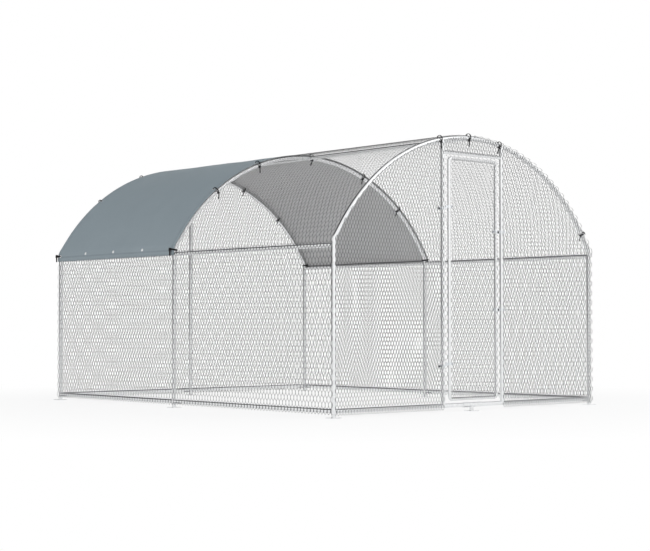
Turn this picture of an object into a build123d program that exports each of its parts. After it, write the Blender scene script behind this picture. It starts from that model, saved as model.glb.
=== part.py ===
from build123d import *
import os
from math import asin, atan, atan2, cos, pi, sin, sqrt

# A walk-in poultry run: three galvanised hoops on posts, rails between them, hexagonal netting
# on every side, a weather cover as the roof of the rear bay and a hinged door in the front gable.
# +Z is up, the front gable faces -Y, and the origin is on the floor under the middle of the run.

# Overall sizes, between the centres of the tubes
width = 2760
front_bay = 1850
rear_bay = 1645
eave_height = 1190
apex_height = 2035
ground_rail_height = 47

# Frame tube and its joints
tube_d = 32
tube_wall = 1.2
slip = 0.3                  # clearance all round, of one tube in another or of a square end on a tube
spigot_wall = 2.0
spigot_length = 60          # how far a spigot reaches into the tube that slides over it
sleeve_wall = 1.5
rail_stop = 3               # from the middle of a sleeve to the end of the tube in it

# Hoop: a roof arc, a straight leg tangent to it and a small bend down into the post
bend_above_eave = 45        # from the eave rail up to the corner of the bend
bend_radius = 100
leg_length = 140            # from the corner of the bend to the joint with the roof arc
ridge_sleeve_length = 160

# Feet
foot_plate_d = 115
foot_plate_thickness = 3
foot_spigot_length = 90
foot_sleeve_length = 200

# Doorway and door
door_offset = 18            # the doorway's middle, to the right of the ridge
door_post_spacing = 642
header_height = 1913
door_tube_d = 25
door_width = 507            # between the centres of the stiles
door_bottom_height = 94
door_top_height = 1871
elbow_leg = 30              # from a corner of the door to the seam of its elbow
elbow_bend_radius = 22
elbow_spigot_length = 40

# Clamp bands of the hinges and latches
band_thickness = 2.0
band_height = 22
ear_length = 18
hinge_ear_length = 32       # on the bands round the hinge-side post
ear_gap = 3
clamp_bolt_d = 8
clamp_bolt_head = 13        # across the flats
clamp_bolt_head_height = 5.5

# Hinges
hinge_heights = (336, 1493)
hinge_pin_d = 8
hinge_eye_d = 14
hinge_eye_height = 18
hinge_lug_thickness = 6
running_fit = 0.08          # clearance all round, of a pin in its eye
seat_gap = 0.4              # under a piece that turns on another

# Latches: a ring on the stile and a hook that turns on the post
latch_heights = {"lower": 754, "upper": 1345}
ring_d = 32
ring_wire_d = 4.5
ring_weld = 1.5             # how far the ring's wire is sunk into its band
hook_wire_d = 5
hook_pin_d = 5
hook_pin_before_post = 9    # from the front of the post to the pin
hook_eye_d = 12
hook_eye_height = 7
hook_tip_past_ring = 8
hook_pin_head_d = 9
hook_pin_head_height = 2

# Netting, with the open share of the real mesh and far fewer, larger cells
net_cell = 318
net_wire = 8
net_thickness = 1.5
net_border = 7
net_gap = 0.6               # between the netting and what it lies on
net_skirt = 20              # floor to the cut lower edge
net_beside_door_post = 10   # from the post's centre to the edge of the netting
door_net_inset = 18         # from the stile's centre to the edge of the door's netting
strips_per_side = 3
strip_gap = 1.0

# Cover
cover_thickness = 2.0
cover_before_mid_hoop = 20
cover_behind_rear_hoop = 14
cover_drop = 10             # below the eave rail's centre
cover_gap = 0.6
eyelet_hole_d = 11
eyelet_barrel_d = 13
eyelet_flange_d = 24
eyelet_flange_thickness = 0.8
hem_eyelets = 3             # along each side
hem_above_eave = 40         # of the hem eyelets

# Cable ties: loops drawn up under the hoop's tube, standing out of it on the outer side
tie_stand = {"front": 8, "mid": 11, "rear": 11}   # the loop's radius less that of what it holds
tie_band = 7.6
tie_thickness = 2.0
tie_head_length = 12
tie_head_height = 9
tie_head_width = 12
tie_head_turn = {"front": 250, "mid": 240, "rear": 225}     # round the loop, from the rear and outwards
tie_head_turn_on_post = 65
tie_tail_length = 48
tie_tail_lean = {-1: 0, 1: 25}      # degrees from plumb towards the left, on the left and on the right
tie_slot = 1.2              # room for a tie where it passes through the netting
tie_beside_tube = 12        # from the side of a tube to the middle of a tie next to it
tie_places_left = (555, 1045)       # these are lengths along the hoop, from the ridge
tie_places_right = (630, 1125)
tie_above_leg = 18          # of the tie at the lower end of a roof arc
tie_above_eave = 30         # of the ties on the posts

# Worked out from the sizes above
length = front_bay + rear_bay
half = width / 2
hoop_y = {"front": -length / 2, "mid": front_bay - length / 2, "rear": length / 2}
bore_d = tube_d - 2 * tube_wall
spigot_d = bore_d - 2 * slip
sleeve_bore_d = tube_d + 2 * slip
sleeve_d = sleeve_bore_d + 2 * sleeve_wall
butt = tube_d / 2 + slip                # from a tube's centre to a square end against it

rise = apex_height - eave_height - bend_above_eave
arc_radius = (half**2 + rise**2 - leg_length**2) / (2 * rise)
arc_centre_height = apex_height - arc_radius
arc_angle = atan2(half, arc_radius - rise) - atan(leg_length / arc_radius)
bend_angle = pi / 2 - arc_angle
leg_straight = leg_length - bend_radius * sin(bend_angle / 2) / cos(bend_angle / 2)
arc_end = arc_radius * arc_angle        # these three are lengths along the hoop, from the ridge
leg_end = arc_end + leg_straight
bend_end = leg_end + bend_radius * bend_angle
bend_end_height = eave_height + bend_above_eave - (leg_length - leg_straight)

door_post_x = {"hinge": door_offset - door_post_spacing / 2, "latch": door_offset + door_post_spacing / 2}
stile_x = {"hinge": door_offset - door_width / 2, "latch": door_offset + door_width / 2}
hinge_x = (door_post_x["hinge"] + tube_d / 2 + stile_x["hinge"] - door_tube_d / 2) / 2
ring_x = stile_x["latch"] + door_tube_d / 2 + slip + band_thickness - ring_weld + ring_d / 2
front_y = hoop_y["front"]
hook_pin_reach = tube_d / 2 + hook_pin_before_post

net_offset = sleeve_d / 2 + net_gap
cover_offset = net_offset + net_thickness + cover_gap
cover_bottom = eave_height - cover_drop

os.makedirs("parts", exist_ok=True)


def save(name, *pieces):
    """Writes one sub-part, which may be a group of separate solids."""
    solids = [solid for piece in pieces for solid in piece.solids()]
    export_step(solids[0] if len(solids) == 1 else Compound(solids), f"parts/{name}.step")


def rod(start, end, diameter):
    """A round bar between two points."""
    axis = Vector(end) - Vector(start)
    bar = Cylinder(diameter / 2, axis.length, align=(Align.CENTER, Align.CENTER, Align.MIN))
    return Plane(origin=start, z_dir=axis) * bar


def tube(start, end, diameter, wall):
    return rod(start, end, diameter) - rod(start, end, diameter - 2 * wall)


def bent_rod(edges, diameter):
    """A round bar along lines and arcs that follow on from each other."""
    path = Wire(edges)
    return sweep(Plane(origin=path @ 0, z_dir=path % 0) * Circle(diameter / 2), path=path)


def hoop_frame(place, y, offset=0, side=1):
    """The plane on a hoop at a length from the ridge, with its x along the run and its z outwards.

    side is 1 on the right and -1 on the left, and offset is measured outwards from the tube's centre.
    """
    if place <= arc_end:
        turn = place / arc_radius
        x, z = arc_radius * sin(turn), arc_centre_height + arc_radius * cos(turn)
    elif place <= leg_end:
        turn = arc_angle
        x = arc_radius * sin(turn) + (place - arc_end) * cos(turn)
        z = arc_centre_height + arc_radius * cos(turn) - (place - arc_end) * sin(turn)
    elif place <= bend_end:
        turn = arc_angle + (place - leg_end) / bend_radius
        x = half - bend_radius + bend_radius * sin(turn)
        z = bend_end_height + bend_radius * cos(turn)
    else:
        turn = pi / 2
        x, z = half, bend_end_height - (place - bend_end)
    out_x, out_z = sin(turn), cos(turn)
    centre = (side * (x + offset * out_x), y, z + offset * out_z)
    return Plane(origin=centre, x_dir=(0, 1, 0), z_dir=(side * out_x, 0, out_z))


def hoop_point(place, y, offset=0):
    return hoop_frame(place, y, offset).origin


def hoop_arc(start, end, y, offset=0):
    """The curve of a hoop between two lengths from the ridge that lie on one arc."""
    places = (start, (start + end) / 2, end)
    return ThreePointArc(*[hoop_point(place, y, offset) for place in places])


def on_both_sides(right):
    return {"right": right, "left": mirror(right, about=Plane.YZ)}


# Side posts: the upright, the bend and the leg are one tube, with welded spigots for the rails
def side_post(y, along, inwards):
    """along lists the directions of the rails along the run; inwards says if a gable rail starts here."""
    run = [
        Line((half, y, foot_plate_thickness), hoop_point(bend_end, y)),
        hoop_arc(bend_end, leg_end, y),
        Line(hoop_point(leg_end, y), hoop_point(arc_end, y)),
    ]
    ground = Vector(half, y, ground_rail_height)
    eave = Vector(half, y, eave_height)
    ways = [(seat, Vector(0, way, 0)) for seat in (ground, eave) for way in along]
    if inwards:
        ways.append((ground, Vector(-1, 0, 0)))
    post = bent_rod(run, tube_d)
    for seat, way in ways:
        post += rod(seat, seat + way * (butt + spigot_length), spigot_d)
    post -= bent_rod(run, bore_d)
    for seat, way in ways:
        mouth = seat + way * (butt + spigot_length)
        post -= rod(seat + way * tube_d / 2, mouth, spigot_d - 2 * spigot_wall)
    return post


post_rails = {"front": ((1,), True), "mid": ((1, -1), False), "rear": ((-1,), True)}
for hoop, (along, inwards) in post_rails.items():
    for side, post in on_both_sides(side_post(hoop_y[hoop], along, inwards)).items():
        save(f"{hoop}_{side}_post", post)


# Roof arcs: half a hoop each, with a swaged lower end that slips into the leg of the post
def roof_arc(y):
    curve = [hoop_arc(arc_end, rail_stop, y)]
    foot = hoop_point(arc_end, y)
    toe = hoop_point(arc_end + spigot_length, y)
    swage = rod(foot, toe, spigot_d)
    bore = spigot_d - 2 * tube_wall
    swage_bore = rod(foot + (foot - toe).normalized() * tube_wall, toe, bore)
    arc_bore = [hoop_arc(arc_end - 2 * tube_wall, rail_stop, y)]
    return bent_rod(curve, tube_d) + swage - bent_rod(arc_bore, bore_d) - swage_bore


for hoop, y in hoop_y.items():
    for side, arc in on_both_sides(roof_arc(y)).items():
        save(f"{hoop}_{side}_roof_arc", arc)


# Ridge connectors: a sleeve over the ends of two roof arcs, with spigots for the ridge tubes,
# and on the rear one a spigot down into the centre post
def hoop_top(reach, y):
    """The curve of a hoop across the ridge, as far as a length from it on both sides."""
    ends = [hoop_frame(reach, y, side=side).origin for side in (1, -1)]
    return [ThreePointArc(ends[0], hoop_point(0, y), ends[1])]


def ridge_connector(y, ways):
    curve = hoop_top(ridge_sleeve_length / 2, y)
    centre = Vector(0, y, apex_height)
    sleeve = bent_rod(curve, sleeve_d)
    ends = [(way, centre + way * (sleeve_d / 2 + slip + spigot_length)) for way in ways]
    for way, end in ends:
        sleeve += rod(centre, end, spigot_d)
    sleeve -= bent_rod(curve, sleeve_bore_d)
    for way, end in ends:
        sleeve -= rod(centre + way * sleeve_d / 2, end, spigot_d - 2 * spigot_wall)
    return sleeve


back, forward, down = Vector(0, 1, 0), Vector(0, -1, 0), Vector(0, 0, -1)
save("front_ridge_connector", ridge_connector(hoop_y["front"], [back]))
save("mid_ridge_connector", ridge_connector(hoop_y["mid"], [back, forward]))
save("rear_ridge_connector", ridge_connector(hoop_y["rear"], [forward, down]))

# Rails along the run: plain tubes, slipped over the spigots of posts and ridge connectors
for bay, start, end in (("front", "front", "mid"), ("rear", "mid", "rear")):
    sleeve_side = sleeve_d / 2 + slip
    ridge = [(0, hoop_y[start] + sleeve_side, apex_height), (0, hoop_y[end] - sleeve_side, apex_height)]
    save(f"{bay}_ridge_tube", tube(*ridge, tube_d, tube_wall))
    for level, height in (("eave", eave_height), ("ground", ground_rail_height)):
        ends = [(half, hoop_y[start] + butt, height), (half, hoop_y[end] - butt, height)]
        for side, piece in on_both_sides(tube(*ends, tube_d, tube_wall)).items():
            save(f"{bay}_{side}_{level}_rail", piece)

# Gable rails: from the spigot of a corner post into the sleeve of the centre foot
for gable in ("front", "rear"):
    y = hoop_y[gable]
    rail = tube((half - butt, y, ground_rail_height), (rail_stop, y, ground_rail_height), tube_d, tube_wall)
    for side, piece in on_both_sides(rail).items():
        save(f"{gable}_{side}_gable_rail", piece)


# Feet: a round plate with a spigot up into the post, or with a sleeve for the gable rails
def foot_plate(x, y):
    return rod((x, y, 0), (x, y, foot_plate_thickness), foot_plate_d)


def side_foot(x, y):
    top = foot_plate_thickness + foot_spigot_length
    stem = rod((x, y, 0), (x, y, top), spigot_d)
    bore = rod((x, y, foot_plate_thickness), (x, y, top), spigot_d - 2 * spigot_wall)
    return foot_plate(x, y) + stem - bore


def sleeve_foot(y, spigot_up):
    ends = [(way * foot_sleeve_length / 2, y, ground_rail_height) for way in (-1, 1)]
    centre = (0, y, ground_rail_height)
    foot = foot_plate(0, y) + rod((0, y, 0), centre, tube_d) + rod(*ends, sleeve_d)
    top = (0, y, ground_rail_height + sleeve_d / 2 + spigot_length)
    if spigot_up:
        foot += rod(centre, top, spigot_d)
        foot -= rod((0, y, ground_rail_height + sleeve_d / 2), top, spigot_d - 2 * spigot_wall)
    stem_top = (0, y, ground_rail_height - sleeve_d / 2)
    return foot - rod(*ends, sleeve_bore_d) - rod((0, y, foot_plate_thickness), stem_top, bore_d)


save("side_feet", *[side_foot(way * half, y) for y in hoop_y.values() for way in (-1, 1)])
save("front_centre_foot", sleeve_foot(hoop_y["front"], False))
save("rear_centre_foot", sleeve_foot(hoop_y["rear"], True))

rear_post_ends = [
    (0, hoop_y["rear"], ground_rail_height + sleeve_d / 2 + slip),
    (0, hoop_y["rear"], apex_height - sleeve_d / 2 - slip),
]
save("rear_centre_post", tube(*rear_post_ends, tube_d, tube_wall))


# Door posts: cut to a saddle at both ends, on the gable rail below and under the hoop above
def hoop_height(x):
    return arc_centre_height + sqrt(arc_radius**2 - x**2)


gable_rail_ends = [(side * half, front_y, ground_rail_height) for side in (-1, 1)]
gable_rail_room = rod(*gable_rail_ends, tube_d + 2 * slip)
hoop_room = bent_rod(hoop_top(arc_end, front_y), tube_d + 2 * slip)
for name, x in door_post_x.items():
    uphill = hoop_height(abs(x) + tube_d / 2)
    post = tube((x, front_y, ground_rail_height), (x, front_y, uphill), tube_d, tube_wall)
    save(f"{name}_side_door_post", post - gable_rail_room - hoop_room)

header_ends = [(x, front_y, header_height) for x in door_post_x.values()]
header = tube(*header_ends, door_tube_d, tube_wall)
for x in door_post_x.values():
    header -= rod((x, front_y, 0), (x, front_y, apex_height), tube_d + 2 * slip)
save("door_header", header)

# Door frame: plain tubes on the spigots of four bent elbows
for name, x in stile_x.items():
    stile = [(x, front_y, door_bottom_height + elbow_leg), (x, front_y, door_top_height - elbow_leg)]
    save(f"{name}_stile", tube(*stile, door_tube_d, tube_wall))
for name, z in (("bottom", door_bottom_height), ("top", door_top_height)):
    rail = [(stile_x["hinge"] + elbow_leg, front_y, z), (stile_x["latch"] - elbow_leg, front_y, z)]
    save(f"door_{name}_rail", tube(*rail, door_tube_d, tube_wall))


def elbow(x, z, across, upwards):
    """A bent corner whose arms go across to the rail and up or down to the stile."""
    corner = Vector(x, front_y, z)
    arms = (Vector(across, 0, 0), Vector(0, 0, upwards))
    spigot = door_tube_d - 2 * tube_wall - 2 * slip

    def bend(reach):
        ends = [corner + arm * reach for arm in arms]
        return FilletPolyline(ends[0], corner, ends[1], radius=elbow_bend_radius).edges()

    body = bent_rod(bend(elbow_leg), door_tube_d)
    for arm in arms:
        body += rod(corner + arm * elbow_leg, corner + arm * (elbow_leg + elbow_spigot_length), spigot)
    return body - bent_rod(bend(elbow_leg + elbow_spigot_length), spigot - 2 * tube_wall)


save(
    "door_elbows",
    *[elbow(stile_x[name], z, across, upwards)
      for name, across in (("hinge", 1), ("latch", -1))
      for z, upwards in ((door_bottom_height, 1), (door_top_height, -1))],
)


# Clamp bands: a strip bent round a tube, drawn together by a bolt through its two ears
def clamp_outline(diameter, reach):
    inner = diameter / 2 + slip
    ears = Pos(inner + (band_thickness + reach) / 2, 0) * Rectangle(
        band_thickness + reach, ear_gap + 2 * band_thickness)
    slot_length = inner + 2 * reach
    slot = Pos(slot_length / 2, 0) * Rectangle(slot_length, ear_gap)
    return Circle(inner + band_thickness) + ears - Circle(inner) - slot


def clamp_bolt_place(diameter, reach):
    return diameter / 2 + slip + band_thickness + reach - ear_length / 2


def clamp_band(x, z, diameter, ears, reach=ear_length):
    """ears is the direction of the ears in degrees from +X, and reach how far they stand out."""
    place = Pos(x, front_y, z) * Rot(Z=ears)
    band = extrude(clamp_outline(diameter, reach), amount=band_height / 2, both=True)
    hole = Rot(X=90) * Cylinder(clamp_bolt_d / 2 + slip, tube_d)
    return place * (band - Pos(clamp_bolt_place(diameter, reach), 0, 0) * hole)


def clamp_bolt(x, z, diameter, ears, reach=ear_length):
    ear_face = ear_gap / 2 + band_thickness
    shank = Cylinder(clamp_bolt_d / 2, 2 * ear_face)
    end = extrude(RegularPolygon(clamp_bolt_head / 2, 6, major_radius=False), clamp_bolt_head_height)
    bolt = shank + Pos(0, 0, ear_face) * end + Pos(0, 0, -ear_face - clamp_bolt_head_height) * end
    place = Pos(x, front_y, z) * Rot(Z=ears) * Pos(clamp_bolt_place(diameter, reach), 0, 0)
    return place * Rot(X=90) * bolt


# Hinges: a band on the post carries a lug with a standing pin, and an eye on the door drops over it
post_ears, stile_ears = 180, 0
lug_top = hinge_lug_thickness + 2
eye_middle = lug_top + seat_gap + hinge_eye_height / 2


def hinge_post_strap(z):
    x = door_post_x["hinge"]
    band = clamp_band(x, z, tube_d, post_ears, hinge_ear_length)
    lug_start = x + tube_d / 2 + slip
    high = z + lug_top
    lug = Pos((lug_start + hinge_x) / 2, front_y, high - hinge_lug_thickness / 2) * Box(
        hinge_x - lug_start, hinge_eye_d, hinge_lug_thickness)
    lug += rod((hinge_x, front_y, high - hinge_lug_thickness), (hinge_x, front_y, high), hinge_eye_d)
    lug -= rod((x, front_y, z - band_height), (x, front_y, z + band_height), tube_d + 2 * slip)
    pin_top = high + 2 * seat_gap + hinge_eye_height + hinge_pin_d / 2
    return band + lug + rod((hinge_x, front_y, z), (hinge_x, front_y, pin_top), hinge_pin_d)


def hinge_door_strap(z):
    x = stile_x["hinge"]
    middle = z + eye_middle
    band = clamp_band(x, middle, door_tube_d, stile_ears)
    web_end = x - door_tube_d / 2 - slip
    web = Pos((hinge_x + web_end) / 2, front_y, middle) * Box(
        web_end - hinge_x, band_thickness * 2, hinge_eye_height)
    low, high = middle - hinge_eye_height / 2, middle + hinge_eye_height / 2
    strap = band + web + rod((hinge_x, front_y, low), (hinge_x, front_y, high), hinge_eye_d)
    strap -= rod((hinge_x, front_y, low), (hinge_x, front_y, high), hinge_pin_d + 2 * running_fit)
    return strap - rod((x, front_y, low), (x, front_y, high), door_tube_d + 2 * slip)


save("hinge_post_straps", *[hinge_post_strap(z) for z in hinge_heights])
save("hinge_door_straps", *[hinge_door_strap(z) for z in hinge_heights])

# Latches: a ring stands on a band round the stile, and the hook turns on a pin in front of the post
hook_ears, ring_ears = 90, 180
hook_lug_thickness = 4
hook_pin_y = front_y - hook_pin_reach
hook_arm = door_post_x["latch"] - ring_x


def latch_ring(z):
    x = stile_x["latch"]
    ring = Pos(ring_x, front_y, z) * Rot(X=90) * Torus((ring_d - ring_wire_d) / 2, ring_wire_d / 2)
    return clamp_band(x, z, door_tube_d, ring_ears) + ring


def latch_post_strap(z):
    x = door_post_x["latch"]
    top = z - hook_eye_height / 2 - seat_gap
    lug_start = front_y - tube_d / 2 - slip
    lug = Pos(x, (lug_start + hook_pin_y) / 2, top - hook_lug_thickness / 2) * Box(
        hook_eye_d, lug_start - hook_pin_y, hook_lug_thickness)
    lug += rod((x, hook_pin_y, top - hook_lug_thickness), (x, hook_pin_y, top), hook_eye_d)
    lug -= rod((x, front_y, z - band_height), (x, front_y, z + band_height), tube_d + 2 * slip)
    pin_top = z + hook_eye_height / 2 + seat_gap
    pin = rod((x, hook_pin_y, top - hook_lug_thickness), (x, hook_pin_y, pin_top), hook_pin_d)
    pin += rod((x, hook_pin_y, pin_top), (x, hook_pin_y, pin_top + hook_pin_head_height), hook_pin_head_d)
    return clamp_band(x, z, tube_d, hook_ears) + lug + pin


def latch_hook(z):
    """The hook as it rests, swung back to the right with its tip forward."""
    x = door_post_x["latch"]
    pin = Vector(x, hook_pin_y, z)
    knee = pin + Vector(hook_arm, 0, 0)
    tip = knee - Vector(0, hook_pin_reach + hook_tip_past_ring, 0)
    wire = FilletPolyline(pin, knee, tip, radius=2 * hook_wire_d).edges()
    half_eye = Vector(0, 0, hook_eye_height / 2)
    eye = rod(pin - half_eye, pin + half_eye, hook_eye_d)
    hole = rod(pin - half_eye, pin + half_eye, hook_pin_d + 2 * running_fit)
    return bent_rod(wire, hook_wire_d) + eye - hole


save("latch_rings", *[latch_ring(z) for z in latch_heights.values()])
save("latch_post_straps", *[latch_post_strap(z) for z in latch_heights.values()])
for name, z in latch_heights.items():
    save(f"{name}_latch_hook", latch_hook(z))

save(
    "frame_clamp_bolts",
    *[clamp_bolt(door_post_x["hinge"], z, tube_d, post_ears, hinge_ear_length) for z in hinge_heights],
    *[clamp_bolt(door_post_x["latch"], z, tube_d, hook_ears) for z in latch_heights.values()],
)
save(
    "door_clamp_bolts",
    *[clamp_bolt(stile_x["hinge"], z + eye_middle, door_tube_d, stile_ears) for z in hinge_heights],
    *[clamp_bolt(stile_x["latch"], z, door_tube_d, ring_ears) for z in latch_heights.values()],
)


# Cable ties: a loop round the hoop that stands up through the netting or an eyelet, with head and tail
def tie_radius(hoop, place):
    """The loop's radius round the ridge sleeve or, further down, round the tube."""
    held_d = sleeve_d if place < ridge_sleeve_length / 2 else tube_d
    return held_d / 2 + tie_stand[hoop]


def tie_centre(hoop):
    """How far the loop's centre is outside the hoop's."""
    return tie_stand[hoop] - tie_thickness / 2 - slip


def tie_reach(hoop, place):
    """From the hoop's plane to where the loop goes through the cover."""
    height = cover_offset + cover_thickness / 2 - tie_centre(hoop)
    return sqrt(tie_radius(hoop, place) ** 2 - height**2)


def tie_frame(hoop, place, side):
    """A plane across the tube, with its x along the run and its y outwards."""
    out = hoop_frame(place, hoop_y[hoop], tie_centre(hoop), side)
    return Plane(origin=out.origin, x_dir=out.x_dir, z_dir=out.x_dir.cross(out.z_dir))


def tie_loop(hoop, place, room=0):
    radius = tie_radius(hoop, place)
    ring = Circle(radius + tie_thickness / 2 + room) - Circle(radius - tie_thickness / 2 - room)
    return extrude(ring, amount=tie_band / 2 + room, both=True)


def cable_tie(hoop, place, side):
    """A loop with its head outside it, from which the tail hangs down."""
    on_post = place == corner_place
    turn = tie_head_turn_on_post if on_post else tie_head_turn[hoop]
    frame = tie_frame(hoop, place, side)
    seat = Rot(Z=turn) * Pos(tie_radius(hoop, place) + (tie_head_height - tie_thickness / 2) / 2, 0, 0)
    head = seat * Box(tie_head_height, tie_head_length, tie_head_width)
    lean = 0 if on_post else tie_tail_lean[side]
    way = Vector(0, 0, -1).rotate(Axis.Y, lean)
    flat = (1, 0, 0) if on_post else (0, 1, 0)
    hanging = Plane(origin=frame.from_local_coords(seat.position), x_dir=flat, z_dir=way)
    tail = extrude(hanging * Rectangle(tie_thickness, tie_band), tie_tail_length)
    return frame * (tie_loop(hoop, place) + head) + tail


def beside_post(name, way):
    """The length along the hoop of a tie on the left or the right of a door post."""
    x = door_post_x[name] + way * (tube_d / 2 + tie_beside_tube)
    return arc_radius * asin(abs(x) / arc_radius)


ridge_place = tube_d / 2 + tie_beside_tube
corner_place = bend_end + bend_end_height - eave_height - tie_above_eave
both = (-1, 1)
cover_places = [(ridge_place, 1), *[(corner_place, side) for side in both]]
cover_places += [(place, -1) for place in tie_places_left] + [(place, 1) for place in tie_places_right]
tie_places = [
    ("front", ridge_place, -1),
    ("front", beside_post("hinge", -1), -1),
    ("front", beside_post("latch", -1), 1),
    ("front", arc_end - tie_above_leg, 1),
]
tie_places += [(hoop, place, side) for hoop in ("mid", "rear") for place, side in cover_places]
save("cable_ties", *[cable_tie(*place) for place in tie_places])


def clear_of_ties(netting, *hoops):
    """Cuts the netting's wires where a cable tie passes through the mesh."""
    for hoop, place, side in tie_places:
        if hoop in hoops:
            netting -= tie_frame(hoop, place, side) * tie_loop(hoop, place, tie_slot)
    return netting


# Netting: a flat outline with hexagons cut out of it, whose upright sides are the twists
net_row = net_cell * sqrt(3) / 2
net_hole = RegularPolygon((net_cell - net_wire) / sqrt(3), 6, rotation=90)


def row_cells(row, low, high):
    """Centres across one row, every second row half a cell along."""
    shift = net_cell / 2 * (row % 2)
    first = round((low - shift) / net_cell)
    last = round((high - shift) / net_cell)
    return [shift + net_cell * step for step in range(first, last + 1)]


def cells_inside(window, cells):
    """What of each cell lies in the window, without the slivers."""
    faces = [face for cell in cells for face in (window & cell).faces()]
    return [face for face in faces if face.area > net_wire**2]


def mesh(outline):
    """The outline, in its own flat plane, with every cell cut that lies inside its border."""
    inside = offset(outline, -net_border)
    box = outline.bounding_box()
    rows = range(round(box.min.Y / net_row), round(box.max.Y / net_row) + 1)
    cells = [Pos(x, row * net_row) * net_hole for row in rows for x in row_cells(row, box.min.X, box.max.X)]
    return outline - cells_inside(inside, cells)


def hoop_outline():
    """The gable's outline at the centre of its hoop and posts, closed along the lower edge."""
    right = [Line(hoop_point(leg_end, 0), hoop_point(arc_end, 0)), hoop_arc(bend_end, leg_end, 0)]
    right.append(Line((half, 0, net_skirt), hoop_point(bend_end, 0)))
    arch = ThreePointArc(hoop_frame(arc_end, 0, side=-1).origin, hoop_point(0, 0), hoop_point(arc_end, 0))
    left = [mirror(edge, about=Plane.YZ) for edge in right]
    sill = Line((-half, 0, net_skirt), (half, 0, net_skirt))
    flat = Plane.XZ.to_local_coords(Curve() + [arch, *right, *left, sill])
    return make_face(flat.edges())


def upright_net(outline, front_face):
    """Stands a flat outline up across the run, with its front face at the y given."""
    return Pos(0, front_face, 0) * Rot(X=90) * extrude(mesh(outline), -net_thickness)


def gable_net(outline, front_face, gable):
    """Netting on a gable, cut round the ties and round the sleeves, which are thicker than the tubes."""
    y = hoop_y[gable]
    net = clear_of_ties(upright_net(outline, front_face), gable)
    net -= bent_rod(hoop_top(ridge_sleeve_length / 2 + net_gap, y), sleeve_d + 2 * net_gap)
    ends = [(way * (foot_sleeve_length / 2 + net_gap), y, ground_rail_height) for way in (-1, 1)]
    return net - rod(*ends, sleeve_d + 2 * net_gap)


def strip_between(left, right, low, high):
    return Pos((left + right) / 2, (low + high) / 2) * Rectangle(right - left, high - low)


gable = hoop_outline()
front_net_y = front_y - tube_d / 2 - net_gap - net_thickness
edges = (-half, door_post_x["hinge"] - net_beside_door_post,
         door_post_x["latch"] + net_beside_door_post, half)
front_nets = {
    "front_left_net": strip_between(edges[0], edges[1], net_skirt, apex_height),
    "front_right_net": strip_between(edges[2], edges[3], net_skirt, apex_height),
    "over_door_net": strip_between(
        door_post_x["hinge"] + net_beside_door_post, door_post_x["latch"] - net_beside_door_post,
        header_height, apex_height),
}
for name, part in front_nets.items():
    save(name, gable_net(gable & part, front_net_y, "front"))
save("rear_gable_net", gable_net(gable, hoop_y["rear"] + tube_d / 2 + net_gap, "rear"))

door_net = strip_between(stile_x["hinge"] + door_net_inset, stile_x["latch"] - door_net_inset,
                         door_bottom_height, door_top_height)
save("door_net", upright_net(door_net, front_y - door_tube_d / 2 - net_gap - net_thickness))

wall = strip_between(-length / 2 - tube_d / 2, length / 2 + tube_d / 2, net_skirt, eave_height + tube_d / 2)
wall_face = Pos(half + tube_d / 2 + net_gap, 0, 0) * Rot(Z=90) * Rot(X=90)
wall_net = wall_face * extrude(mesh(wall), net_thickness)
for side, net in on_both_sides(wall_net).items():
    save(f"{side}_wall_net", net)


# Roof netting: widths laid side by side over the front bay, from the legs up to the ridge
def roof_strip(start, end):
    """A curved width of netting between two lengths from the ridge, with its rows cut square to it."""
    front, rear = front_y - tube_d / 2, hoop_y["mid"] + tube_d / 2
    middle = net_offset + net_thickness / 2
    arc_stop = min(end, arc_end)
    run = [hoop_arc(start, arc_stop, 0, middle)]
    if end > arc_end:
        run.append(Line(hoop_point(arc_end, 0, middle), hoop_point(end, 0, middle)))
    path = Wire(run)
    across = Plane(origin=path @ 0, x_dir=(0, 1, 0), z_dir=path % 0)
    section = across * Rectangle(rear - front, net_thickness)
    strip = Pos(0, (front + rear) / 2, 0) * sweep(section, path=path)
    front, rear = front + net_border, rear - net_border
    for row in range(round(start / net_row), round(end / net_row) + 1):
        place = row * net_row
        low = start + net_border - place
        high = end - net_border - place
        window = strip_between(front, rear, -high, -low)
        cells = [Pos(y, 0) * net_hole for y in row_cells(row, front, rear)]
        frame = hoop_frame(place, 0, middle)
        for hole in cells_inside(window, cells):
            strip -= extrude(frame * hole, amount=net_cell / 8, both=True)
    return strip


strip_ends = [step * leg_end / strips_per_side for step in range(strips_per_side + 1)]
roof_strips = []
for start, end in zip(strip_ends, strip_ends[1:]):
    strip = roof_strip(start + strip_gap / 2, end - strip_gap / 2)
    roof_strips += [clear_of_ties(piece, "front", "mid") for piece in on_both_sides(strip).values()]
save("roof_nets", *roof_strips)


# Cover: one sheet over the rear bay, from below one eave to below the other
def cover_sheet():
    middle = cover_offset + cover_thickness / 2
    right = [
        Line((half + middle, 0, cover_bottom), hoop_point(bend_end, 0, middle)),
        hoop_arc(bend_end, leg_end, 0, middle),
        Line(hoop_point(leg_end, 0, middle), hoop_point(arc_end, 0, middle)),
    ]
    far_end = hoop_frame(arc_end, 0, middle, -1).origin
    arch = ThreePointArc(hoop_point(arc_end, 0, middle), hoop_point(0, 0, middle), far_end)
    left = [mirror(edge, about=Plane.YZ).edge() for edge in reversed(right)]
    path = Wire([*right, arch, *left])
    front, rear = hoop_y["mid"] - cover_before_mid_hoop, hoop_y["rear"] + cover_behind_rear_hoop
    across = Plane(origin=path @ 0, x_dir=(0, 1, 0), z_dir=path % 0)
    section = across * Rectangle(rear - front, cover_thickness)
    return Pos(0, (front + rear) / 2, 0) * sweep(section, path=path)


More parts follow.
